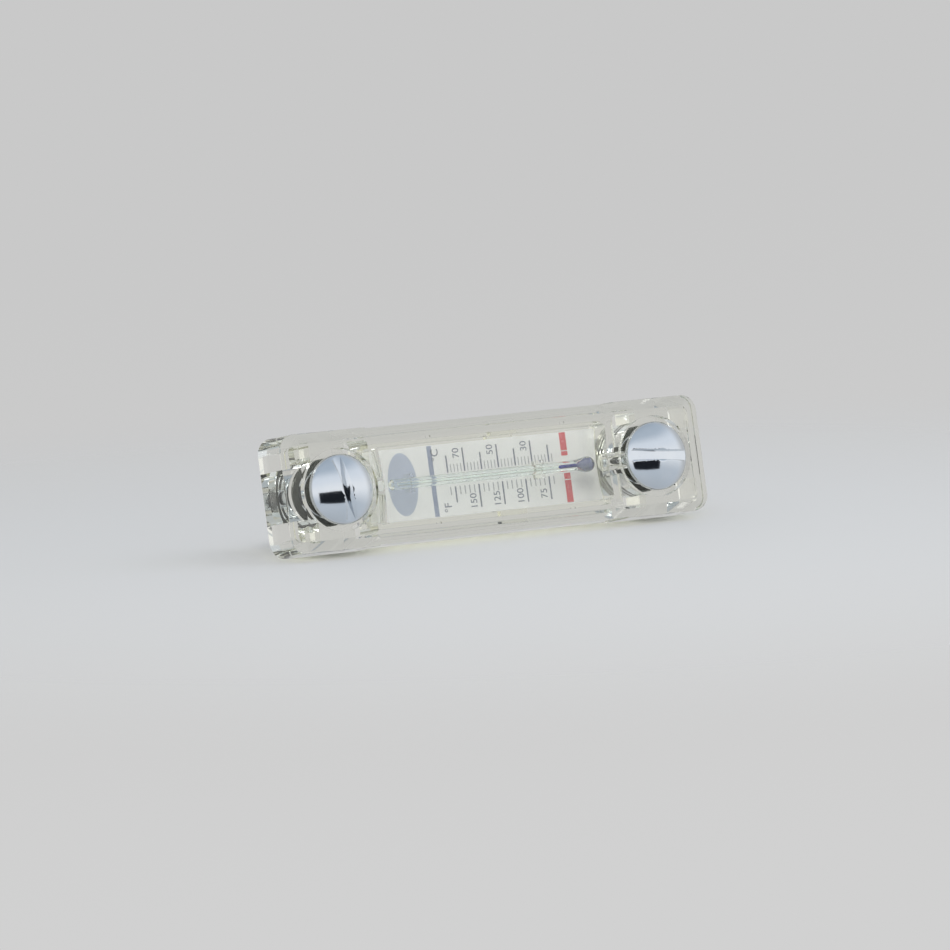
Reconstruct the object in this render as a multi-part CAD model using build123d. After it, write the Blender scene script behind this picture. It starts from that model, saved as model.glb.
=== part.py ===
from build123d import *
import os
from math import radians, sin, cos, sqrt, tan

# Column level gauge for a hydraulic tank, with a thermometer, lying on its long side.
# All sizes in millimetres. +X runs towards the lower end in service, -Y is the side that is
# read, +Y leaves the mounting face towards the tank, and +Z is up.
# The origin is the centre of the mounting face, midway between the two bolts.

# --- fixing -------------------------------------------------------------------------------
bolt_spacing = 76.0        # between the two bolt axes
bolt_radius = 5.0          # M10 thread, outside
bolt_reach = 12.0          # how far the thread stands behind the mounting face
bolt_clearance = 0.15      # between the shank and its bore in the body

# --- clear body ---------------------------------------------------------------------------
end_margin = 12.5          # from a bolt axis to the end of the body
body_width = 25.0          # at the mounting face
body_depth = 11.0
body_draft = 1.0           # degrees, on all four outer sides
corner_radius = 3.5
bevel_depth = 1.4          # the front edge is bevelled all round, wider at the ends
bevel_width = 2.3
bevel_width_end = 3.6
front_corner_radius = 0.8
bevel_edge_radius = 0.3    # on both edges of the bevel
back_edge_chamfer = 0.25
waist_length = 60.0        # the middle of both long sides stands a little in
waist_inset = 0.25

# --- fluid chamber ------------------------------------------------------------------------
front_wall = 2.6           # clear wall in front of the fluid
chamber_length = 55.2      # at its corners
chamber_width = 16.0
chamber_depth = 4.8
chamber_end_radius = 60.0  # both end walls bow into the chamber
chamber_corner = 0.8
duct_radius = 1.9          # joins each bolt bore to the chamber

# --- rear cover, welded on a ledge behind the chamber ----------------------------------------
ledge = 0.9                # how far the ledge runs out around the chamber
cover_thickness = 1.4
cover_gap = 0.05           # left around the cover by the weld
recess_corner = 1.0

# --- scale plate, in the open recess behind the cover ----------------------------------------
plate_thickness = 0.8
plate_height = 15.1
plate_gap = 0.15           # at each end of the plate
plate_corner = 0.6
lug_middle = 5.0           # the locating lugs stand off centre, as the scale does
lug_length = 6.2
lug_gap = 0.08             # between a lug and the plate's edge
bead_height = 0.35         # what each snap bead laps over the plate
bead_width = 0.8
end_bead_length = 4.0

# --- lightening pockets around each bolt boss ------------------------------------------------
boss_radius = 8.2
pocket_wall_side = 2.8     # wall left along the long sides
pocket_wall_end = 2.8      # wall left at the ends
pocket_wall_chamber = 1.1  # wall left towards the recess of the scale plate
end_web = 5.4              # half width of the webs from the boss to the walls, away from the chamber
chamber_web = 2.8          # the same towards the chamber, round the duct
pocket_floor = 3.0         # clear wall left in front of the pockets
pocket_corner = 1.0

# --- small pips moulded in the front face ----------------------------------------------------
pip_spacing = 32.4
pip_length = 1.2
pip_width = 0.45
pip_depth = 0.35
pip_edge = 1.0             # from the edge of the flat front face to a pip

# --- bolts ----------------------------------------------------------------------------------
head_radius = 7.25
head_rim = 1.2             # height of the straight rim below the dome
head_dome = 2.2            # rise of the dome above the rim
head_bevel = 0.3
slot_width = 2.0
slot_depth = 2.0
upper_slot_angle = 97.3    # degrees from +X, as the bolts were left when tightened
lower_slot_angle = -5.4
shank_radius = 4.6         # plain shank ahead of the thread
thread_start = 1.0         # behind the mounting face
bolt_bore_radius = 2.1
cross_hole_radius = 1.8
thread_chamfer = 0.9

# --- seals ----------------------------------------------------------------------------------
head_recess_radius = 8.6   # round recess in the front face under each head
head_recess_depth = 1.8
head_seal_inner = 5.35
head_seal_outer = 6.4
head_seal_thickness = 1.3  # squeezed between the head and the floor of the recess
tank_recess_radius = 7.05  # round recess in the mounting face, for the seal round the bolt
tank_recess_depth = 1.4
tank_seal_inner = 5.4
tank_seal_outer = 7.0
tank_seal_proud = 0.5      # how far it stands behind the mounting face
seal_bevel = 0.4

# --- thermometer ------------------------------------------------------------------------------
glass_radius = 1.1
glass_end_gap = 3.2        # from the upper end of the chamber to the glass
bulb_to_chamber_end = 4.3  # from the middle of the bulb to the lower end of the chamber
bulb_radius = 1.62
bulb_length = 1.2          # of its straight part, which starts before the middle
bulb_taper = 2.2           # length of the taper from the stem to the bulb
bulb_bevel_share = 0.6     # of the radius inside the bulb, taken off its end
capillary_radius = 0.25
capillary_bevel = 0.1
glass_end_bevel = 0.45
glass_bulb_wall = 0.3
capillary_end_wall = 1.6   # solid glass left at the upper end of the stem
fluid_column = 7.1         # from the middle of the bulb to the top of the fluid
thermometer_depth = 2.4    # from the inside of the front wall to the stem's axis
saddle_from_ends = (8.1, 15.6)   # from the chamber's upper and lower ends to the saddles
saddle_length = 1.3
saddle_width = 3.8
saddle_wrap = 0.45         # how far the saddle's lips pass the stem's axis
saddle_gap = 0.04

# --- worked out from the sizes above -----------------------------------------------------------
bolt_x = bolt_spacing / 2
body_length = bolt_spacing + 2 * end_margin
bore_radius = bolt_radius + bolt_clearance
front_y = -body_depth
rim_y = front_y + bevel_depth
rim_inset = (body_depth - bevel_depth) * tan(radians(body_draft))
front_length = body_length - 2 * (rim_inset + bevel_width_end)
front_width = body_width - 2 * (rim_inset + bevel_width)
recess_floor_y = front_y + head_recess_depth
head_y = recess_floor_y - head_seal_thickness
chamber_front_y = front_y + front_wall
ledge_y = chamber_front_y + chamber_depth
plate_front_y = ledge_y + cover_thickness
plate_back_y = plate_front_y + plate_thickness
recess_length = chamber_length + 2 * ledge
recess_width = chamber_width + 2 * ledge
duct_y = chamber_front_y + chamber_depth / 2
stem_y = chamber_front_y + thermometer_depth
bulb_bore_radius = bulb_radius - glass_bulb_wall
glass_upper_end = -chamber_length / 2 + glass_end_gap
bulb_middle = chamber_length / 2 - bulb_to_chamber_end
fluid_top = bulb_middle - fluid_column


def from_back(profile, start_y, end_y):
    """Extrude a profile drawn looking at the front, from one depth forward to another."""
    return extrude(Plane.XZ.offset(-start_y) * profile, start_y - end_y)


def bored_along_y(x, radius, start_y, end_y):
    return from_back(Pos(x, 0) * Circle(radius), start_y, end_y)


def chamber_profile():
    half_l, half_w = chamber_length / 2, chamber_width / 2
    bow = chamber_end_radius - sqrt(chamber_end_radius**2 - half_w**2)
    right = ThreePointArc((half_l, -half_w), (half_l - bow, 0), (half_l, half_w))
    left = ThreePointArc((-half_l, half_w), (-half_l + bow, 0), (-half_l, -half_w))
    outline = Line((-half_l, -half_w), (half_l, -half_w)) + right
    outline += Line((half_l, half_w), (-half_l, half_w)) + left
    face = make_face(outline)
    return fillet(face.vertices(), chamber_corner)


def pocket_profile(far_x, web):
    """One pocket beside a boss at the origin, in the corner towards +X and +Y."""
    far_z = body_width / 2 - pocket_wall_side
    corner = Pos((web + far_x) / 2, (web + far_z) / 2)
    block = corner * Rectangle(far_x - web, far_z - web)
    block = fillet(block.vertices().sort_by_distance((far_x, far_z, 0))[0], pocket_corner)
    return block - Circle(boss_radius)


def pockets_around_boss(end):
    """The four pockets of one boss, the two on the chamber's side narrower than the others."""
    to_end = pocket_profile(end_margin - pocket_wall_end, end_web)
    to_chamber = pocket_profile(bolt_x - recess_length / 2 - pocket_wall_chamber, chamber_web)
    pockets = []
    for profile, towards in ((to_end, end), (to_chamber, -end)):
        if towards < 0:
            profile = mirror(profile, Plane.YZ)
        pockets += [profile, mirror(profile, Plane.XZ)]
    return [Pos(end * bolt_x, 0) * profile for profile in pockets]


def outer_block():
    """A drafted block whose front is bevelled down to a smaller flat face."""
    outline = RectangleRounded(body_length, body_width, corner_radius)
    block = extrude(Plane.XZ * outline, body_depth - bevel_depth, taper=body_draft)
    rim = block.faces().sort_by(Axis.Y)[0]
    front = Plane.XZ.offset(body_depth) * RectangleRounded(front_length, front_width, front_corner_radius)
    block += loft([rim, front.face()], ruled=True)
    front_edges = block.faces().sort_by(Axis.Y)[0].edges()
    rim_edges = block.edges().filter_by_position(Axis.Y, rim_y - 0.01, rim_y + 0.01)
    block = fillet(front_edges + rim_edges, bevel_edge_radius)
    block = chamfer(block.faces().sort_by(Axis.Y)[-1].edges(), back_edge_chamfer)
    for side in (1, -1):
        step = Pos(0, side * body_width / 2) * Rectangle(waist_length, 2 * waist_inset)
        trim = from_back(step, 1, front_y - 1)
        edge = Pos(0, 0, side * body_width / 2)
        block -= edge * Rot(side * body_draft, 0, 0) * edge.inverse() * trim
    return block


def retaining_lugs():
    """Lugs that place the scale plate, with beads that it snaps behind."""
    lugs = []
    for side in (1, -1):
        reach = recess_width / 2 - plate_height / 2 - lug_gap
        middle = side * (recess_width / 2 - reach / 2)
        lug = Pos(lug_middle, middle) * Rectangle(lug_length, reach)
        lugs.append(from_back(lug, plate_back_y + bead_width, plate_front_y))
        bead = Pos(lug_middle, side * plate_height / 2) * Rectangle(lug_length, 2 * bead_height)
        lugs.append(from_back(bead, plate_back_y + bead_width, plate_back_y))
        end = side * (recess_length / 2 - plate_gap)
        end_bead = Pos(end, 0) * Rectangle(2 * bead_height, end_bead_length)
        lugs.append(from_back(end_bead, plate_back_y + bead_width, plate_back_y))
    return lugs


def sight_body():
    body = outer_block()
    body -= from_back(chamber_profile(), ledge_y, chamber_front_y)
    recess = RectangleRounded(recess_length, recess_width, recess_corner)
    body -= from_back(recess, 0, ledge_y)
    for lug in retaining_lugs():
        body += lug
    for end in (1, -1):
        x = end * bolt_x
        body -= bored_along_y(x, bore_radius, 0, front_y)
        body -= bored_along_y(x, head_recess_radius, recess_floor_y, front_y)
        body -= bored_along_y(x, tank_recess_radius, 0, -tank_recess_depth)
        duct = Plane((x, duct_y, 0), z_dir=(-end, 0, 0)) * Circle(duct_radius)
        body -= extrude(duct, bolt_x - chamber_length / 2 + duct_radius)
        for pocket in pockets_around_boss(end):
            body -= from_back(pocket, 0, front_y + pocket_floor)
    pip_z = front_width / 2 - pip_edge
    for x in (-pip_spacing / 2, pip_spacing / 2):
        for z in (-pip_z, pip_z):
            pip = Pos(x, z) * SlotOverall(pip_length, pip_width)
            body -= from_back(pip, front_y + pip_depth, front_y)
    return body


def rear_cover():
    length = recess_length - 2 * cover_gap
    width = recess_width - 2 * cover_gap
    outline = RectangleRounded(length, width, recess_corner - cover_gap)
    cover = from_back(outline, plate_front_y, ledge_y)
    upper, lower = saddle_from_ends
    for x in (upper - chamber_length / 2, chamber_length / 2 - lower):
        lips_y = stem_y - saddle_wrap
        block = Pos(x, 0) * Rectangle(saddle_length, saddle_width)
        saddle = from_back(block, ledge_y, lips_y)
        seat = Plane((x - saddle_length, stem_y, 0), z_dir=(1, 0, 0)) * Circle(glass_radius + saddle_gap)
        saddle -= extrude(seat, 2 * saddle_length)
        cover += saddle
    return cover


def scale_plate():
    length = recess_length - 2 * plate_gap
    outline = RectangleRounded(length, plate_height, plate_corner)
    return from_back(outline, plate_back_y, plate_front_y)


def stem_and_bulb(start_x, stem, bulb, end_bevel, bulb_end):
    """Half outline of a stem and bulb about the X axis, closed by the given end of the bulb."""
    shoulder_x = bulb_middle - bulb_length / 2
    lines = Polyline((start_x, 0), (start_x, stem - end_bevel), (start_x + end_bevel, stem),
                     (shoulder_x - bulb_taper, stem), (shoulder_x, bulb), (bulb_middle, bulb))
    lines += bulb_end
    lines += Line((bulb_middle + bulb, 0), (start_x, 0))
    return make_face(lines)


def thermometer_bore(start_x):
    """The space inside the thermometer from the given place to the bevelled end of the bulb."""
    tip = bulb_middle + bulb_bore_radius
    bevel = bulb_bore_radius * bulb_bevel_share
    end = Polyline((bulb_middle, bulb_bore_radius), (tip - bevel, bulb_bore_radius),
                   (tip, bulb_bore_radius - bevel), (tip, 0))
    return revolve(stem_and_bulb(start_x, capillary_radius, bulb_bore_radius, capillary_bevel, end), Axis.X)


def thermometer_glass():
    halfway = (bulb_middle + bulb_radius * cos(radians(45)), bulb_radius * sin(radians(45)))
    end = ThreePointArc((bulb_middle, bulb_radius), halfway, (bulb_middle + bulb_radius, 0))
    outside = revolve(stem_and_bulb(glass_upper_end, glass_radius, bulb_radius, glass_end_bevel, end), Axis.X)
    return Pos(0, stem_y, 0) * (outside - thermometer_bore(glass_upper_end + capillary_end_wall))


def thermometer_fluid():
    return Pos(0, stem_y, 0) * thermometer_bore(fluid_top)


def bolt(slot_angle):
    """Hollow slotted bolt, turned about the Y axis."""
    rim_y = head_y - head_rim
    top_y = rim_y - head_dome
    end_y = bolt_reach
    half_chord = head_radius - head_bevel
    dome_radius = (half_chord**2 + head_dome**2) / (2 * head_dome)
    dome_centre = top_y + dome_radius
    mid_r = half_chord / 2
    mid_y = dome_centre - sqrt(dome_radius**2 - mid_r**2)
    outline = ThreePointArc((0, top_y), (mid_r, mid_y), (half_chord, rim_y))
    outline += Polyline((half_chord, rim_y), (head_radius, rim_y + head_bevel), (head_radius, head_y),
                        (shank_radius, head_y), (shank_radius, thread_start),
                        (bolt_radius, thread_start), (bolt_radius, end_y - thread_chamfer),
                        (bolt_radius - thread_chamfer, end_y), (0, end_y), (0, top_y))
    solid = revolve(make_face(outline), Axis.Y)
    solid -= bored_along_y(0, bolt_bore_radius, end_y, duct_y - cross_hole_radius)
    cross_hole = Plane((0, duct_y, 0), z_dir=(1, 0, 0)) * Circle(cross_hole_radius)
    solid -= extrude(cross_hole, bolt_radius, both=True)
    slot = Pos(0, top_y + slot_depth / 2 - head_dome, 0) * Box(3 * head_radius, slot_depth + 2 * head_dome,
                                                              slot_width)
    return solid - Rot(0, -slot_angle, 0) * slot


def head_seal():
    """A rubber ring squeezed to a square section under the head."""
    ring = Circle(head_seal_outer) - Circle(head_seal_inner)
    return from_back(ring, recess_floor_y, head_y)


def tank_seal():
    """A rubber ring bevelled outside, free until the gauge is bolted to a tank."""
    width, thickness = tank_seal_outer - tank_seal_inner, tank_seal_proud + tank_recess_depth
    block = Rectangle(width, thickness)
    section = chamfer(block.vertices().sort_by(Axis.X)[-2:], seal_bevel)
    middle = Pos(tank_seal_inner + width / 2, tank_seal_proud - thickness / 2)
    return revolve(middle * section, Axis.Y)


pieces = {
    "sight_body": sight_body(),
    "rear_cover": rear_cover(),
    "scale_plate": scale_plate(),
    "thermometer_glass": thermometer_glass(),
    "thermometer_fluid": thermometer_fluid(),
}
for name, x, slot_angle in (("upper", -bolt_x, upper_slot_angle), ("lower", bolt_x, lower_slot_angle)):
    pieces[name + "_bolt"] = Pos(x, 0, 0) * bolt(slot_angle)
    pieces[name + "_head_seal"] = Pos(x, 0, 0) * head_seal()
    pieces[name + "_tank_seal"] = Pos(x, 0, 0) * tank_seal()

os.makedirs("parts", exist_ok=True)
for name, piece in pieces.items():
    export_step(piece, "parts/" + name + ".step")
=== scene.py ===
from math import cos, pi, radians, sin, tan

import bmesh
import bpy
from mathutils import Matrix, Vector


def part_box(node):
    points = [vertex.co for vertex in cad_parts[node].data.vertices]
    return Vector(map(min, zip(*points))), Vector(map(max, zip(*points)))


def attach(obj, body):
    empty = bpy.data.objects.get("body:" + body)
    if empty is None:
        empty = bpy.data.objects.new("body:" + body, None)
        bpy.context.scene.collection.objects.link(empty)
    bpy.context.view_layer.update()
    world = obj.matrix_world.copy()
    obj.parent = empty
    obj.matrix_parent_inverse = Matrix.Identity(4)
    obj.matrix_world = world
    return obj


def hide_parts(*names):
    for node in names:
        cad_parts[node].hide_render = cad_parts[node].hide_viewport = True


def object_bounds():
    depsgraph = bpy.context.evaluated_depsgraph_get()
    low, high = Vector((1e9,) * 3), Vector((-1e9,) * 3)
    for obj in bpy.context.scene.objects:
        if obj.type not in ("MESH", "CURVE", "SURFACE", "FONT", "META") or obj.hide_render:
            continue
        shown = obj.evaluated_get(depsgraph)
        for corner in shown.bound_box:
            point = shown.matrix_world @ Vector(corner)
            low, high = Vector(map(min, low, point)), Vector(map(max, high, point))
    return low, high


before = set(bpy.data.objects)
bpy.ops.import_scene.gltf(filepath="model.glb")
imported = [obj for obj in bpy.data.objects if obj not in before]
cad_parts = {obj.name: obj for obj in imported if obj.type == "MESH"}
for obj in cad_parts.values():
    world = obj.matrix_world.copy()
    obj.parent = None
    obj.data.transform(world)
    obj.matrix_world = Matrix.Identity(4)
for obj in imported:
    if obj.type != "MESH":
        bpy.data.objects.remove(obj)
cad_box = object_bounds()
scene = bpy.context.scene

# ---------------------------------------------------------------------------------------------
# Scale plate: a strip of aluminium sheet, white lacquered. It lies behind the fluid chamber,
# outside it, and is snapped into the back of the moulding. Its face is what the level is read
# against.

MM = 0.001
plate_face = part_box("scale_plate")[0].y
LACQUER = "DADBEC"
LACQUER_SHADE = "D1D2E3"


def linear(code, alpha=1.0):
    """An sRGB hex colour as Blender's linear values."""
    parts = [int(code[i:i + 2], 16) / 255 for i in (0, 2, 4)]
    return [p / 12.92 if p <= 0.04045 else ((p + 0.055) / 1.055) ** 2.4 for p in parts] + [alpha]


def add_node(tree, kind, settings=None, inputs=None):
    """Add a node; an input is given a value, or another node's socket to take it from."""
    node = tree.nodes.new(kind)
    for name, value in (settings or {}).items():
        setattr(node, name, value)
    for name, value in (inputs or {}).items():
        if isinstance(value, bpy.types.NodeSocket):
            tree.links.new(value, node.inputs[name])
        else:
            node.inputs[name].default_value = value
    return node


def new_material(name):
    """A material with one Principled shader, and its node tree."""
    material = bpy.data.materials.new(name)
    material.use_nodes = True
    tree = material.node_tree
    return material, tree, tree.nodes["Principled BSDF"]


def set_values(shader, values):
    for name, value in values.items():
        shader.inputs[name].default_value = value


def dress(node, material):
    """Give a CAD node's every slot this material."""
    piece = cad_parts[node]
    piece.data.materials.clear()
    piece.data.materials.append(material)
    for face in piece.data.polygons:
        face.material_index = 0
    return piece


# Stove lacquer on flat sheet: even and smooth, with a very faint mottle.
lacquer, tree, shader = new_material("white_stove_lacquer")
place = add_node(tree, "ShaderNodeTexCoord").outputs["Object"]
mottle = add_node(tree, "ShaderNodeTexNoise", inputs={"Vector": place, "Scale": 400.0, "Detail": 3.0})
tone = add_node(tree, "ShaderNodeMix", {"data_type": "RGBA"},
                {"Factor": mottle.outputs["Fac"], 6: linear(LACQUER), 7: linear(LACQUER_SHADE)})
tree.links.new(tone.outputs[2], shader.inputs["Base Color"])
grain = add_node(tree, "ShaderNodeBump", inputs={"Strength": 0.05, "Distance": 0.02 * MM,
                                               "Height": mottle.outputs["Fac"]})
tree.links.new(grain.outputs["Normal"], shader.inputs["Normal"])
set_values(shader, {"Roughness": 0.42, "IOR": 1.5})
dress("scale_plate", lacquer)

# ---------------------------------------------------------------------------------------------
# Print on the plate: screen printed in one pass of blue-grey ink and one of red. A broad bar
# marks the highest level and a red one the lowest, and two rows of graduations run along the
# thermometer, Celsius above it and Fahrenheit below.

INK_THICKNESS = 0.012 * MM
INK_BLUE = "8A94B6"
INK_PALE = "ADB6D3"
INK_DARK = "5D6482"
INK_GREY = "8D90A6"
INK_RED = "C94F5C"
print_y = plate_face - INK_THICKNESS
TURNED = Matrix(((0, -1, 0, 0), (0, 0, -1, 0), (1, 0, 0, 0), (0, 0, 0, 1)))   # words run up, tops to -X

HIGH_BAR_X = -12.3 * MM
HIGH_BAR_WIDTH = 1.1 * MM
LOW_BAR_X = 20.1 * MM
LOW_BAR_WIDTH = 1.55 * MM
BAR_REACH = 7.4 * MM


def ink(name, code):
    """Screen ink: matt, a little uneven where the mesh left it thin."""
    material, tree, shader = new_material(name)
    place = add_node(tree, "ShaderNodeTexCoord").outputs["Object"]
    thin = add_node(tree, "ShaderNodeTexNoise", inputs={"Vector": place, "Scale": 2500.0, "Detail": 2.0})
    amount = add_node(tree, "ShaderNodeMapRange", inputs={"Value": thin.outputs["Fac"], "From Min": 0.55,
                                                         "From Max": 0.85, "To Max": 0.35})
    tone = add_node(tree, "ShaderNodeMix", {"data_type": "RGBA"},
                    {"Factor": amount.outputs["Result"], 6: linear(code), 7: linear(LACQUER)})
    tree.links.new(tone.outputs[2], shader.inputs["Base Color"])
    set_values(shader, {"Roughness": 0.55, "IOR": 1.5})
    return material


blue_ink = ink("blue_screen_ink", INK_BLUE)
pale_ink = ink("pale_blue_screen_ink", INK_PALE)
dark_ink = ink("dark_screen_ink", INK_DARK)
grey_ink = ink("grey_screen_ink", INK_GREY)
red_ink = ink("red_screen_ink", INK_RED)


def piece_from_bmesh(bm, name, material):
    mesh = bpy.data.meshes.new(name)
    bm.to_mesh(mesh)
    bm.free()
    mesh.materials.append(material)
    piece = bpy.data.objects.new(name, mesh)
    scene.collection.objects.link(piece)
    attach(piece, "root")
    return piece


def printed_fields(name, outlines, material):
    """Flat printed shapes from outlines of (x, z) on the plate's face."""
    bm = bmesh.new()
    for outline in outlines:
        face = bm.faces.new([bm.verts.new((x, print_y, z)) for x, z in outline])
        face.normal_update()
        if face.normal.y > 0:
            face.normal_flip()
    return piece_from_bmesh(bm, name, material)


def bar(x, width, low, high):
    return [(x - width / 2, low), (x + width / 2, low), (x + width / 2, high), (x - width / 2, high)]


printed_fields("high_level_bar", [bar(HIGH_BAR_X, HIGH_BAR_WIDTH, -BAR_REACH, BAR_REACH)], blue_ink)
LOW_BAR_RUNS = ((3.6, 7.4), (2.5, 3.4), (-2.5, -1.2), (-7.4, -2.7))
printed_fields("low_level_bar", [bar(LOW_BAR_X, LOW_BAR_WIDTH, low * MM, high * MM)
                                 for low, high in LOW_BAR_RUNS], red_ink)

# A plain oval field, with no sign in it.
OVAL_X = -19.5 * MM
OVAL_HALF_WIDTH, OVAL_HALF_HEIGHT = 3.5 * MM, 6.6 * MM
OVAL_STEPS = 64
printed_fields("oval_field", [[(OVAL_X + OVAL_HALF_WIDTH * cos(2 * pi * i / OVAL_STEPS),
                                OVAL_HALF_HEIGHT * sin(2 * pi * i / OVAL_STEPS))
                               for i in range(OVAL_STEPS)]], pale_ink)


def tick_row_tree():
    """Geometry Nodes: a row of ticks along +X whose every Nth one is longer."""
    tree = bpy.data.node_groups.new("tick_row", "GeometryNodeTree")
    sockets = (("Count", "Int"), ("Spacing", "Float"), ("Width", "Float"), ("Short", "Float"),
               ("Middle", "Float"), ("Long", "Float"), ("Middle Every", "Int"), ("Middle First", "Int"),
               ("Long Every", "Int"), ("Long First", "Int"), ("Ink", "Material"))
    for name, kind in sockets:
        tree.interface.new_socket(name, in_out="INPUT", socket_type="NodeSocket" + kind)
    tree.interface.new_socket("Geometry", in_out="OUTPUT", socket_type="NodeSocketGeometry")
    given = add_node(tree, "NodeGroupInput").outputs
    index = add_node(tree, "GeometryNodeInputIndex").outputs[0]

    def falls_on(every, first):
        shifted = add_node(tree, "ShaderNodeMath", {"operation": "SUBTRACT"}, {0: index, 1: given[first]})
        left = add_node(tree, "ShaderNodeMath", {"operation": "FLOORED_MODULO"},
                        {0: shifted.outputs[0], 1: given[every]})
        return add_node(tree, "ShaderNodeMath", {"operation": "LESS_THAN"},
                        {0: left.outputs[0], 1: 0.5}).outputs[0]

    middle = add_node(tree, "ShaderNodeMix", inputs={0: falls_on("Middle Every", "Middle First"),
                                                    2: given["Short"], 3: given["Middle"]})
    length = add_node(tree, "ShaderNodeMix", inputs={0: falls_on("Long Every", "Long First"),
                                                    2: middle.outputs[0], 3: given["Long"]})
    step = add_node(tree, "ShaderNodeCombineXYZ", inputs={"X": given["Spacing"]})
    line = add_node(tree, "GeometryNodeMeshLine", inputs={"Count": given["Count"],
                                                         "Offset": step.outputs[0]})
    tick = add_node(tree, "GeometryNodeMeshGrid", inputs={"Size X": given["Width"], "Size Y": 1.0,
                                                         "Vertices X": 2, "Vertices Y": 2})
    stood = add_node(tree, "GeometryNodeTransform", inputs={
        "Geometry": tick.outputs["Mesh"], "Translation": (0, 0, 0.5), "Rotation": (pi / 2, 0, 0)})
    size = add_node(tree, "ShaderNodeCombineXYZ", inputs={"X": 1.0, "Y": 1.0, "Z": length.outputs[0]})
    row = add_node(tree, "GeometryNodeInstanceOnPoints", inputs={
        "Points": line.outputs["Mesh"], "Instance": stood.outputs[0], "Scale": size.outputs[0]})
    real = add_node(tree, "GeometryNodeRealizeInstances", inputs={"Geometry": row.outputs[0]})
    inked = add_node(tree, "GeometryNodeSetMaterial", inputs={"Geometry": real.outputs[0],
                                                             "Material": given["Ink"]})
    add_node(tree, "NodeGroupOutput", inputs={"Geometry": inked.outputs[0]})
    return tree


def made_by_nodes(name, tree, inputs, place):
    """Run a node tree with these inputs and keep its result as a plain mesh at that place."""
    seed = bpy.data.objects.new(name + "_seed", bpy.data.meshes.new(name + "_seed"))
    scene.collection.objects.link(seed)
    modifier = seed.modifiers.new("make", "NODES")
    modifier.node_group = tree
    for item in tree.interface.items_tree:
        if item.item_type == "SOCKET" and item.in_out == "INPUT" and item.name in inputs:
            modifier[item.identifier] = inputs[item.name]
    mesh = bpy.data.meshes.new_from_object(seed.evaluated_get(bpy.context.evaluated_depsgraph_get()))
    seed.modifiers.remove(modifier)
    bpy.data.objects.remove(seed)
    mesh.transform(place)
    piece = bpy.data.objects.new(name, mesh)
    scene.collection.objects.link(piece)
    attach(piece, "root")
    return piece


# Both rows start at the edge of the stem. The Celsius row runs from 82 down to 16 degrees, and
# the Fahrenheit row stands on the same scale.
CELSIUS_PITCH = 0.41 * MM           # for one degree Celsius
CELSIUS_80_X = -8.5 * MM
FAHRENHEIT_PITCH = CELSIUS_PITCH / 1.8
FAHRENHEIT_175_X = -7.15 * MM
ROW_START = 1.5 * MM
TICK_WIDTH = 0.2 * MM
MAIN_TICK_WIDTH = 0.36 * MM
tick_rows = tick_row_tree()
DOWNWARD = Matrix.Diagonal((1, 1, -1, 1))


def tick_row(name, first_x, direction, material, **inputs):
    place = Matrix.Translation((first_x, print_y, direction * ROW_START))
    if direction < 0:
        place = place @ DOWNWARD
    piece = made_by_nodes(name, tick_rows, dict(inputs, Ink=material), place)
    bm = bmesh.new()
    bm.from_mesh(piece.data)
    for face in bm.faces:
        if face.normal.y > 0:
            face.normal_flip()
    bm.to_mesh(piece.data)
    bm.free()
    return piece


tick_row("celsius_fine_ticks", CELSIUS_80_X, 1, grey_ink, Count=32, Spacing=2 * CELSIUS_PITCH,
         Width=TICK_WIDTH, Short=1.7 * MM, Middle=1.7 * MM, Long=1.7 * MM,
         **{"Middle Every": 5, "Middle First": 0, "Long Every": 10, "Long First": 5})
tick_row("celsius_main_ticks", CELSIUS_80_X, 1, dark_ink, Count=7, Spacing=10 * CELSIUS_PITCH,
         Width=MAIN_TICK_WIDTH, Short=3.6 * MM, Middle=3.6 * MM, Long=4.9 * MM,
         **{"Middle Every": 2, "Middle First": 0, "Long Every": 2, "Long First": 1})
tick_row("fahrenheit_fine_ticks", FAHRENHEIT_175_X - 5 * FAHRENHEIT_PITCH, -1, grey_ink, Count=23,
         Spacing=5 * FAHRENHEIT_PITCH, Width=TICK_WIDTH * 1.3, Short=1.75 * MM, Middle=1.75 * MM,
         Long=1.75 * MM, **{"Middle Every": 5, "Middle First": 1, "Long Every": 5, "Long First": 1})
tick_row("fahrenheit_main_ticks", FAHRENHEIT_175_X, -1, dark_ink, Count=5,
         Spacing=25 * FAHRENHEIT_PITCH, Width=MAIN_TICK_WIDTH, Short=4.85 * MM, Middle=4.85 * MM,
         Long=3.4 * MM, **{"Middle Every": 2, "Middle First": 0, "Long Every": 9, "Long First": 0})

DIGIT_HEIGHT = 1.55 * MM
DIGIT_TO_TICK = 0.95 * MM


def printed_word(name, words, x, z, height, material, align="CENTER"):
    """Words read upwards, with their feet at x and centred or started at z."""
    curve = bpy.data.curves.new(name, "FONT")
    curve.body = words
    curve.size = height / 0.7
    curve.align_x = align
    curve.resolution_u = 6
    curve.offset = height * 0.008
    source = bpy.data.objects.new(name + "_text", curve)
    scene.collection.objects.link(source)
    mesh = bpy.data.meshes.new_from_object(source.evaluated_get(bpy.context.evaluated_depsgraph_get()))
    bpy.data.objects.remove(source)
    mesh.transform(Matrix.Translation((x, print_y, z)) @ TURNED)
    mesh.materials.clear()
    mesh.materials.append(material)
    piece = bpy.data.objects.new(name, mesh)
    scene.collection.objects.link(piece)
    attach(piece, "root")
    return piece


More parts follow.
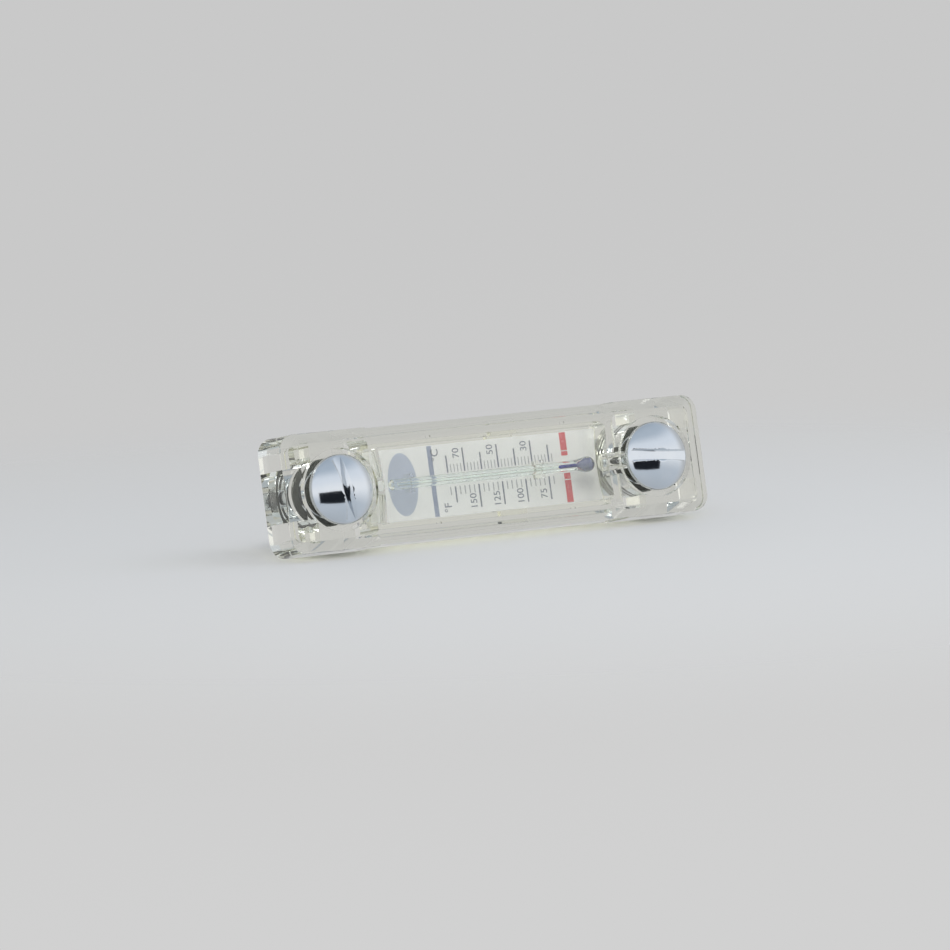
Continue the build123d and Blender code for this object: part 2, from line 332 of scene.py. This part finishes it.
for degrees in (70, 50, 30):
    x = CELSIUS_80_X + (80 - degrees) * CELSIUS_PITCH - DIGIT_TO_TICK
    printed_word(f"celsius_{degrees}", str(degrees), x, 5.4 * MM, DIGIT_HEIGHT, dark_ink)
for degrees in (150, 125, 100, 75):
    x = FAHRENHEIT_175_X + (175 - degrees) * FAHRENHEIT_PITCH - DIGIT_TO_TICK
    printed_word(f"fahrenheit_{degrees}", str(degrees), x, -4.95 * MM, DIGIT_HEIGHT, dark_ink)
printed_word("celsius_sign", "°C", -10.3 * MM, 5.4 * MM, 1.7 * MM, dark_ink)
printed_word("fahrenheit_sign", "°F", -8.6 * MM, -5.8 * MM, 1.7 * MM, dark_ink)

# ---------------------------------------------------------------------------------------------
# Thermometer: drawn glass stem with a blown bulb, filled with blue dyed spirit. It lies loose
# in the two saddles of the rear cover, inside the fluid chamber.

GLASS_TINT = "F4F9F8"
SPIRIT_BLUE = "1622A6"
SPIRIT_DEEP = "090E60"
MOST_REFLECTIONS = 4               # inside a clear piece, before a ray goes straight on
MOST_BOUNCES = 10                  # of any kind, likewise


def let_light_through(tree, shader, tint):
    """Clear pieces tint lamp light and pass it on. A ray that has run out of reflections inside
    them goes straight on too, or thick plastic would turn black there."""
    path = add_node(tree, "ShaderNodeLightPath").outputs
    reflected = add_node(tree, "ShaderNodeMath", {"operation": "GREATER_THAN"},
                         {0: path["Glossy Depth"], 1: MOST_REFLECTIONS - 0.5})
    bounced = add_node(tree, "ShaderNodeMath", {"operation": "GREATER_THAN"},
                       {0: path["Ray Depth"], 1: MOST_BOUNCES - 0.5})
    spent = add_node(tree, "ShaderNodeMath", {"operation": "MAXIMUM"},
                     {0: reflected.outputs[0], 1: bounced.outputs[0]})
    straight = add_node(tree, "ShaderNodeMath", {"operation": "MAXIMUM"},
                        {0: spent.outputs[0], 1: path["Is Shadow Ray"]})
    passed = add_node(tree, "ShaderNodeBsdfTransparent", inputs={"Color": linear(tint)})
    either = add_node(tree, "ShaderNodeMixShader", inputs={0: straight.outputs[0], 1: shader.outputs[0],
                                                          2: passed.outputs[0]})
    tree.links.new(either.outputs[0], tree.nodes["Material Output"].inputs["Surface"])


drawn_glass, tree, shader = new_material("drawn_soda_glass")
set_values(shader, {"Base Color": linear(GLASS_TINT), "Roughness": 0.02, "IOR": 1.5,
                    "Transmission Weight": 1.0})
place = add_node(tree, "ShaderNodeTexCoord").outputs["Object"]
drawn = add_node(tree, "ShaderNodeMapping", inputs={"Vector": place, "Scale": (30, 900, 900)})
lines = add_node(tree, "ShaderNodeTexNoise", inputs={"Vector": drawn.outputs[0], "Scale": 1.0})
draw_marks = add_node(tree, "ShaderNodeBump", inputs={"Strength": 0.06, "Distance": 0.03 * MM,
                                                     "Height": lines.outputs["Fac"]})
tree.links.new(draw_marks.outputs["Normal"], shader.inputs["Normal"])
let_light_through(tree, shader, "FCFDFD")
dress("thermometer_glass", drawn_glass)

# Dyed spirit: it looks dark in the bulb and brighter in the thin thread, where the light gets through; the
# material only clouds its blue at random between a deep and a brighter tone.
spirit, tree, shader = new_material("blue_dyed_spirit")
place = add_node(tree, "ShaderNodeTexCoord").outputs["Object"]
cloud = add_node(tree, "ShaderNodeTexNoise", inputs={"Vector": place, "Scale": 700.0})
tone = add_node(tree, "ShaderNodeMix", {"data_type": "RGBA"},
                {"Factor": cloud.outputs["Fac"], 6: linear(SPIRIT_DEEP), 7: linear(SPIRIT_BLUE)})
tree.links.new(tone.outputs[2], shader.inputs["Base Color"])
set_values(shader, {"Roughness": 0.12, "IOR": 1.36})
dress("thermometer_fluid", spirit)


def clear_of_neighbours(node, keep_off):
    """A copy of a CAD node drawn in by keep_off on every side, so that faces don't coincide."""
    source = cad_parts[node]
    low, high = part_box(node)
    middle, size = (low + high) / 2, high - low
    shrink = Matrix.Diagonal([1 - 2 * keep_off / s for s in size] + [1])
    mesh = source.data.copy()
    mesh.transform(Matrix.Translation(middle) @ shrink @ Matrix.Translation(-middle))
    piece = bpy.data.objects.new(node + "_seen", mesh)
    scene.collection.objects.link(piece)
    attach(piece, "root")
    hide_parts(node)
    return piece


# ---------------------------------------------------------------------------------------------
# Clear body and rear cover: both are moulded in transparent polyamide, faintly yellow-green,
# and welded together round the fluid chamber. The colour shows where the light runs far inside
# the plastic, at the edges and in the webs.

CLEAR_TINT = "FDFDF9"
DEPTH_TINT = "E5E6DF"
DEPTH_DENSITY = 46.0
AIR_GAP = 0.012 * MM

polyamide, tree, shader = new_material("transparent_polyamide")
set_values(shader, {"Base Color": linear(CLEAR_TINT), "Roughness": 0.015, "IOR": 1.52,
                    "Transmission Weight": 1.0})
place = add_node(tree, "ShaderNodeTexCoord").outputs["Object"]
waves = add_node(tree, "ShaderNodeTexNoise", inputs={"Vector": place, "Scale": 110.0, "Detail": 1.0})
sink = add_node(tree, "ShaderNodeBump", inputs={"Strength": 0.10, "Distance": 0.25 * MM,
                                              "Height": waves.outputs["Fac"]})
tree.links.new(sink.outputs["Normal"], shader.inputs["Normal"])
inside = add_node(tree, "ShaderNodeVolumeAbsorption",
                  inputs={"Color": linear(DEPTH_TINT), "Density": DEPTH_DENSITY})
tree.links.new(inside.outputs[0], tree.nodes["Material Output"].inputs["Volume"])
let_light_through(tree, shader, "FAFAF4")
dress("sight_body", polyamide)

cover = clear_of_neighbours("rear_cover", AIR_GAP)
cover.data.materials.clear()
cover.data.materials.append(polyamide)

# ---------------------------------------------------------------------------------------------
# Seals: moulded nitrile rings, one squeezed under each bolt head and one round each bolt in
# the mounting face.

RUBBER = "3C3E3C"
nitrile, tree, shader = new_material("moulded_nitrile_rubber")
place = add_node(tree, "ShaderNodeTexCoord").outputs["Object"]
bloom = add_node(tree, "ShaderNodeTexNoise", inputs={"Vector": place, "Scale": 1800.0, "Detail": 3.0})
skin = add_node(tree, "ShaderNodeBump", inputs={"Strength": 0.15, "Distance": 0.03 * MM,
                                              "Height": bloom.outputs["Fac"]})
tone = add_node(tree, "ShaderNodeMix", {"data_type": "RGBA"},
                {"Factor": bloom.outputs["Fac"], 6: linear(RUBBER), 7: linear("484A47")})
tree.links.new(tone.outputs[2], shader.inputs["Base Color"])
tree.links.new(skin.outputs["Normal"], shader.inputs["Normal"])
set_values(shader, {"Roughness": 0.5, "IOR": 1.52})
for node in ("upper_head_seal", "lower_head_seal", "upper_tank_seal", "lower_tank_seal"):
    seal = clear_of_neighbours(node, -AIR_GAP)
    seal.data.materials.clear()
    seal.data.materials.append(nitrile)

# ---------------------------------------------------------------------------------------------
# Bolts: turned from steel bar, slotted and drilled hollow, thread rolled, then zinc plated with
# a blue passivation. Their thread goes into the tank wall.

ZINC = "E2E6EA"
ZINC_BLUE = "D3DBE3"

zinc, tree, shader = new_material("blue_passivated_zinc")
place = add_node(tree, "ShaderNodeTexCoord").outputs["Object"]
cloud = add_node(tree, "ShaderNodeTexNoise", inputs={"Vector": place, "Scale": 260.0, "Detail": 4.0})
tone = add_node(tree, "ShaderNodeMix", {"data_type": "RGBA"},
                {"Factor": cloud.outputs["Fac"], 6: linear(ZINC), 7: linear(ZINC_BLUE)})
tree.links.new(tone.outputs[2], shader.inputs["Base Color"])
fine = add_node(tree, "ShaderNodeTexNoise", inputs={"Vector": place, "Scale": 4200.0, "Detail": 2.0})
rough = add_node(tree, "ShaderNodeMapRange", inputs={"Value": fine.outputs["Fac"], "To Min": 0.06,
                                                    "To Max": 0.13})
tree.links.new(rough.outputs["Result"], shader.inputs["Roughness"])
pits = add_node(tree, "ShaderNodeBump", inputs={"Strength": 0.08, "Distance": 0.02 * MM,
                                              "Height": fine.outputs["Fac"]})
tree.links.new(pits.outputs["Normal"], shader.inputs["Normal"])
set_values(shader, {"Metallic": 1.0})

THREAD_PITCH = 1.5 * MM
THREAD_DEPTH = 0.61 * THREAD_PITCH
THREAD_RADIUS = 5.0 * MM
SHANK_RADIUS = 4.6 * MM
THREAD_START = 1.0 * MM
THREAD_CHAMFER = 0.9 * MM
AROUND, PER_TURN = 48, 8
bolt_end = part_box("upper_bolt")[1].y


def thread_tree():
    """Geometry Nodes: the skin of a rolled thread about the Y axis, tapered at both ends."""
    tree = bpy.data.node_groups.new("rolled_thread", "GeometryNodeTree")
    for name, kind in (("Radius", "Float"), ("Depth", "Float"), ("Pitch", "Float"), ("Start", "Float"),
                       ("End", "Float"), ("Start Radius", "Float"), ("End Radius", "Float"),
                       ("Around", "Int"), ("Along", "Int"), ("Plating", "Material")):
        tree.interface.new_socket(name, in_out="INPUT", socket_type="NodeSocket" + kind)
    tree.interface.new_socket("Geometry", in_out="OUTPUT", socket_type="NodeSocketGeometry")
    given = add_node(tree, "NodeGroupInput").outputs

    def calc(operation, *values):
        return add_node(tree, "ShaderNodeMath", {"operation": operation},
                        dict(enumerate(values))).outputs[0]

    sheet = add_node(tree, "GeometryNodeMeshGrid", inputs={"Size X": 1.0, "Size Y": 1.0,
                                                          "Vertices X": given["Around"],
                                                          "Vertices Y": given["Along"]})
    spot = add_node(tree, "ShaderNodeSeparateXYZ",
                    inputs={0: add_node(tree, "GeometryNodeInputPosition").outputs[0]}).outputs
    turn = calc("ADD", spot["X"], 0.5)
    share = calc("ADD", spot["Y"], 0.5)
    length = calc("SUBTRACT", given["End"], given["Start"])
    height = calc("ADD", given["Start"], calc("MULTIPLY", share, length))
    phase = calc("FRACT", calc("ADD", calc("SUBTRACT", calc("DIVIDE", height, given["Pitch"]), turn), 20.0))
    flank = calc("ABSOLUTE", calc("SUBTRACT", calc("MULTIPLY", phase, 2.0), 1.0))
    flat = calc("MINIMUM", calc("MAXIMUM", calc("SUBTRACT", calc("MULTIPLY", flank, 1.3), 0.15), 0.0), 1.0)
    cut = calc("SUBTRACT", given["Radius"], calc("MULTIPLY", flat, given["Depth"]))
    runout = calc("ADD", given["Start Radius"], calc("SUBTRACT", height, given["Start"]))
    point = calc("ADD", given["End Radius"], calc("SUBTRACT", given["End"], height))
    radius = calc("MINIMUM", calc("MINIMUM", cut, runout), point)
    angle = calc("MULTIPLY", turn, 2 * pi)
    at = add_node(tree, "ShaderNodeCombineXYZ", inputs={"X": calc("MULTIPLY", radius, calc("SINE", angle)),
                                                       "Y": height,
                                                       "Z": calc("MULTIPLY", radius, calc("COSINE", angle))})
    skin = add_node(tree, "GeometryNodeSetPosition", inputs={"Geometry": sheet.outputs["Mesh"],
                                                            "Position": at.outputs[0]})
    closed = add_node(tree, "GeometryNodeMergeByDistance", inputs={"Geometry": skin.outputs[0],
                                                                  "Distance": 0.002 * MM})
    real = add_node(tree, "GeometryNodeRealizeInstances", inputs={"Geometry": closed.outputs[0]})
    plated = add_node(tree, "GeometryNodeSetMaterial", inputs={"Geometry": real.outputs[0],
                                                              "Material": given["Plating"]})
    add_node(tree, "NodeGroupOutput", inputs={"Geometry": plated.outputs[0]})
    return tree


thread_skins = thread_tree()
for node in ("upper_bolt", "lower_bolt"):
    low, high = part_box(node)
    axis_x, axis_z = (low.x + high.x) / 2, (low.z + high.z) / 2
    bm = bmesh.new()
    bm.from_mesh(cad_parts[node].data)
    bmesh.ops.remove_doubles(bm, verts=bm.verts, dist=0.001 * MM)
    plain = [f for f in bm.faces
             if all(v.co.y > THREAD_START - 0.01 * MM for v in f.verts)
             and all(Vector((v.co.x - axis_x, v.co.z - axis_z)).length > THREAD_RADIUS - THREAD_CHAMFER
                     - 0.05 * MM for v in f.verts)]
    bmesh.ops.delete(bm, geom=plain, context="FACES")
    turned = piece_from_bmesh(bm, node + "_turned", zinc)
    turned.data.shade_smooth()
    thread = made_by_nodes(node + "_thread", thread_skins, {
        "Radius": THREAD_RADIUS, "Depth": THREAD_DEPTH, "Pitch": THREAD_PITCH, "Start": THREAD_START,
        "End": bolt_end, "Start Radius": SHANK_RADIUS, "End Radius": THREAD_RADIUS - THREAD_CHAMFER,
        "Around": AROUND + 1, "Along": int((bolt_end - THREAD_START) / THREAD_PITCH * PER_TURN) + 1,
        "Plating": zinc}, Matrix.Translation((axis_x, 0, axis_z)))
    bm = bmesh.new()
    bm.from_mesh(thread.data)
    bmesh.ops.recalc_face_normals(bm, faces=bm.faces)
    bm.to_mesh(thread.data)
    bm.free()
    thread.data.shade_smooth()
    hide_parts(node)

# ---------------------------------------------------------------------------------------------
# Stage: a pale floor under the gauge that fades out into a pale surround, soft studio light
# from above and the camera.

BACKGROUND = "C9C9C9"
BACKGROUND_LOW = "D1D1D1"
FLOOR = "CECECD"
floor_z = cad_box[0].z
FLOOR_RADIUS = 0.30
FLOOR_TILT = 11.0                      # degrees that the paper falls away towards the camera

floor_material, tree, shader = new_material("matt_paper")
place = add_node(tree, "ShaderNodeTexCoord").outputs["Object"]
reach = add_node(tree, "ShaderNodeVectorMath", {"operation": "LENGTH"}, {0: place}).outputs["Value"]
fade = add_node(tree, "ShaderNodeMapRange", {"interpolation_type": "SMOOTHSTEP"},
                {"Value": reach, "From Min": FLOOR_RADIUS * 0.2, "From Max": FLOOR_RADIUS * 0.95})
set_values(shader, {"Base Color": linear(FLOOR), "Roughness": 0.9, "Specular IOR Level": 0.1})
path = add_node(tree, "ShaderNodeLightPath").outputs
through = add_node(tree, "ShaderNodeMath", {"operation": "MAXIMUM"},
                   {0: fade.outputs["Result"], 1: path["Is Glossy Ray"]})
nothing = add_node(tree, "ShaderNodeBsdfTransparent")
mixed = add_node(tree, "ShaderNodeMixShader", inputs={0: through.outputs[0], 1: shader.outputs[0],
                                                     2: nothing.outputs[0]})
tree.links.new(mixed.outputs[0], tree.nodes["Material Output"].inputs["Surface"])
bm = bmesh.new()
bmesh.ops.create_circle(bm, cap_ends=True, radius=FLOOR_RADIUS, segments=96)
bmesh.ops.rotate(bm, verts=bm.verts, matrix=Matrix.Rotation(radians(FLOOR_TILT), 3, "X"))
bmesh.ops.translate(bm, verts=bm.verts, vec=(0, 0, floor_z))
mesh = bpy.data.meshes.new("floor")
bm.to_mesh(mesh)
bm.free()
mesh.materials.append(floor_material)
floor = bpy.data.objects.new("floor", mesh)
scene.collection.objects.link(floor)

# Surround: nearly even to the eye, a little darker upwards. What metal and clear plastic catch
# from the room in front is brightest at eye level and greyer above and below.
world = bpy.data.worlds.new("studio")
scene.world = world
world.use_nodes = True
tree = world.node_tree
back = tree.nodes["Background"]
look = add_node(tree, "ShaderNodeTexCoord").outputs["Generated"]
aim = add_node(tree, "ShaderNodeSeparateXYZ", inputs={0: look}).outputs
height = add_node(tree, "ShaderNodeMapRange", inputs={"Value": aim["Z"], "From Min": -1.0})
room = add_node(tree, "ShaderNodeValToRGB", inputs={"Fac": height.outputs["Result"]})
room.color_ramp.interpolation = "EASE"
stops = room.color_ramp.elements
stops[0].position, stops[0].color = 0.0, linear("BCC1C6")
stops[1].position, stops[1].color = 1.0, linear("AEB8C3")
for at, code in ((0.30, "CBD1D8"), (0.52, "FEFEFF"), (0.70, "EEF2F8"), (0.86, "BEC8D3")):
    stops.new(at).color = linear(code)
front = add_node(tree, "ShaderNodeMapRange", {"interpolation_type": "SMOOTHSTEP"},
                 {"Value": aim["Y"], "From Min": 0.1, "From Max": -0.3})
caught = add_node(tree, "ShaderNodeMix", {"data_type": "RGBA"},
                  {"Factor": front.outputs["Result"], 6: linear(BACKGROUND), 7: room.outputs["Color"]})
upwards = add_node(tree, "ShaderNodeMapRange", {"interpolation_type": "SMOOTHSTEP"},
                   {"Value": aim["Z"], "From Min": -0.03, "From Max": 0.09})
backdrop = add_node(tree, "ShaderNodeMix", {"data_type": "RGBA"},
                    {"Factor": upwards.outputs["Result"], 6: linear(BACKGROUND_LOW), 7: linear(BACKGROUND)})
path = add_node(tree, "ShaderNodeLightPath").outputs
shown = add_node(tree, "ShaderNodeMix", {"data_type": "RGBA"},
                 {"Factor": path["Is Camera Ray"], 6: caught.outputs[2], 7: backdrop.outputs[2]})
tree.links.new(shown.outputs[2], back.inputs["Color"])


def soft_box(name, at, towards, size, watts, colour):
    light = bpy.data.lights.new(name, "AREA")
    light.shape = "RECTANGLE"
    light.size, light.size_y = size
    light.energy = watts
    light.color = linear(colour)[:3]
    lamp = bpy.data.objects.new(name, light)
    lamp.location = at
    lamp.rotation_mode = "QUATERNION"
    lamp.rotation_quaternion = (Vector(towards) - Vector(at)).to_track_quat("-Z", "Y")
    lamp.visible_glossy = False
    scene.collection.objects.link(lamp)


soft_box("key_box", (-0.25, -0.75, 0.75), (0, 0, 0), (0.7, 0.5), 5.0, "FFFFFF")
soft_box("fill_box", (0.7, -0.5, 0.5), (0, 0, 0), (0.5, 0.5), 2.0, "F2F6FF")

# A dark card far in front, low down, that only shows in the polished heads.
CARD_DISTANCE = 1.2
CARD_LEFT, CARD_RIGHT, CARD_BOTTOM, CARD_TOP = 33, 25, 24, 1      # degrees as seen from the gauge
card_material, tree, shader = new_material("black_card")
set_values(shader, {"Base Color": linear("24282E"), "Roughness": 1.0, "Specular IOR Level": 0.0})
bm = bmesh.new()
left, right = -CARD_DISTANCE * tan(radians(CARD_LEFT)), CARD_DISTANCE * tan(radians(CARD_RIGHT))
low, high = -CARD_DISTANCE * tan(radians(CARD_BOTTOM)), -CARD_DISTANCE * tan(radians(CARD_TOP))
bm.faces.new([bm.verts.new(p) for p in ((left, -CARD_DISTANCE, low), (left, -CARD_DISTANCE, high),
                                        (right, -CARD_DISTANCE, high), (right, -CARD_DISTANCE, low))])
mesh = bpy.data.meshes.new("dark_card")
bm.to_mesh(mesh)
bm.free()
mesh.materials.append(card_material)
card = bpy.data.objects.new("dark_card", mesh)
scene.collection.objects.link(card)
for ray in ("camera", "diffuse", "transmission", "volume_scatter", "shadow"):
    setattr(card, "visible_" + ray, False)

# Camera: from the left of the front, very slightly from below, and rolled. It aims a little to
# the left of the gauge's middle and below it.
CAMERA_YAW = -30.0
CAMERA_RISE = -2.6
CAMERA_ROLL = -7.6
AIM_LEFT, AIM_DOWN = 6.8 * MM, 0.85 * MM
CAMERA_DISTANCE = 1.31
IMAGE_WIDTH_AT_GAUGE = 197.1 * MM      # the width that the image covers at the gauge
camera_data = bpy.data.cameras.new("camera")
camera = bpy.data.objects.new("camera", camera_data)
scene.collection.objects.link(camera)
scene.camera = camera
yaw, rise = radians(CAMERA_YAW), radians(CAMERA_RISE)
away = Vector((sin(yaw) * cos(rise), -cos(yaw) * cos(rise), sin(rise)))
gaze = (-away).to_track_quat("-Z", "Y").to_matrix() @ Matrix.Rotation(radians(CAMERA_ROLL), 3, "Z")
aim_at = Vector((0, cad_box[0].y, 0)) - gaze.col[0] * AIM_LEFT - gaze.col[1] * AIM_DOWN
camera.location = aim_at + away * CAMERA_DISTANCE
camera.rotation_mode = "QUATERNION"
camera.rotation_quaternion = gaze.to_quaternion()
camera_data.sensor_width = 36.0
camera_data.lens = 18.0 / (IMAGE_WIDTH_AT_GAUGE / 2 / CAMERA_DISTANCE)
camera_data.clip_start, camera_data.clip_end = 0.05, 20.0
scene.view_settings.view_transform = "Standard"
